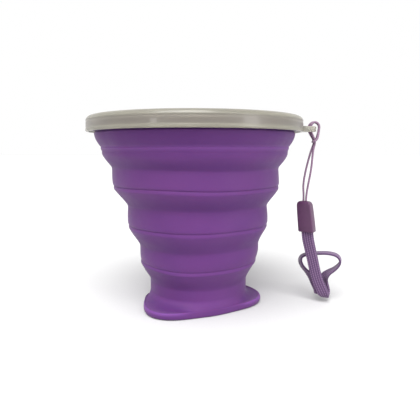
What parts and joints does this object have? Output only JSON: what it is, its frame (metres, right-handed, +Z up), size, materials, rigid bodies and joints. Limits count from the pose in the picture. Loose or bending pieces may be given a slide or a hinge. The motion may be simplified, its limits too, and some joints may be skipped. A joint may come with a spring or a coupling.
{
  "type": "folding silicone travel cup",
  "caption": "Folding silicone cup of stepped bands on a lobed foot, with a press-fit lid, a steel rim and a wrist lanyard hanging from the lid's lug.",
  "frame": {"origin": "middle of the flat underside of the foot, on the cup's axis", "axes": "+Z up the cup's axis, +X from the axis to the lug on the lid"},
  "size_m": [0.1091, 0.0898, 0.0794],
  "materials": {
    "silicone": "matte, moulded",
    "lid_plastic": "frosted translucent, semi-gloss",
    "rim_steel": "fine brushed",
    "cord": "braided",
    "crimp_plastic": "satin moulded",
    "strap": "ribbed webbing"
  },
  "bodies": {
    "rim": {"rim_band": "silicone", "rim_ring": "rim_steel"},
    "lid": {"lid": "lid_plastic"},
    "second_tier": {"upper_web": "silicone", "second_band": "silicone"},
    "third_tier": {"second_web": "silicone", "third_band": "silicone"},
    "fourth_tier": {"third_web": "silicone", "fourth_band": "silicone"},
    "base": {"lower_web": "silicone", "base_foot": "silicone"},
    "lanyard": {"lanyard_cord": "cord", "lanyard_crimp": "crimp_plastic", "wrist_strap": "strap"}
  },
  "joints": [
    {"name": "lid_lift", "type": "slide", "parent": "rim", "child": "lid", "axis": [0, 0, 1], "range_m": [0, 0.03]},
    {"name": "second_tier_fold", "type": "slide", "parent": "rim", "child": "second_tier", "axis": [0, 0, 1], "range_m": [0, 0.012], "deforming": ["upper_web"]},
    {"name": "third_tier_fold", "type": "slide", "parent": "second_tier", "child": "third_tier", "axis": [0, 0, 1], "range_m": [0, 0.0164], "deforming": ["second_web"]},
    {"name": "fourth_tier_fold", "type": "slide", "parent": "third_tier", "child": "fourth_tier", "axis": [0, 0, 1], "range_m": [0, 0.0159], "deforming": ["third_web"]},
    {"name": "base_fold", "type": "slide", "parent": "fourth_tier", "child": "base", "axis": [0, 0, 1], "range_m": [0, 0.0134], "deforming": ["lower_web"]},
    {"name": "lanyard_swing", "type": "hinge", "parent": "lid", "child": "lanyard", "pos_m": [0.04985, 0, 0.0745], "axis": [0, -1, 0], "range_deg": [-10, 90]}
  ]
}
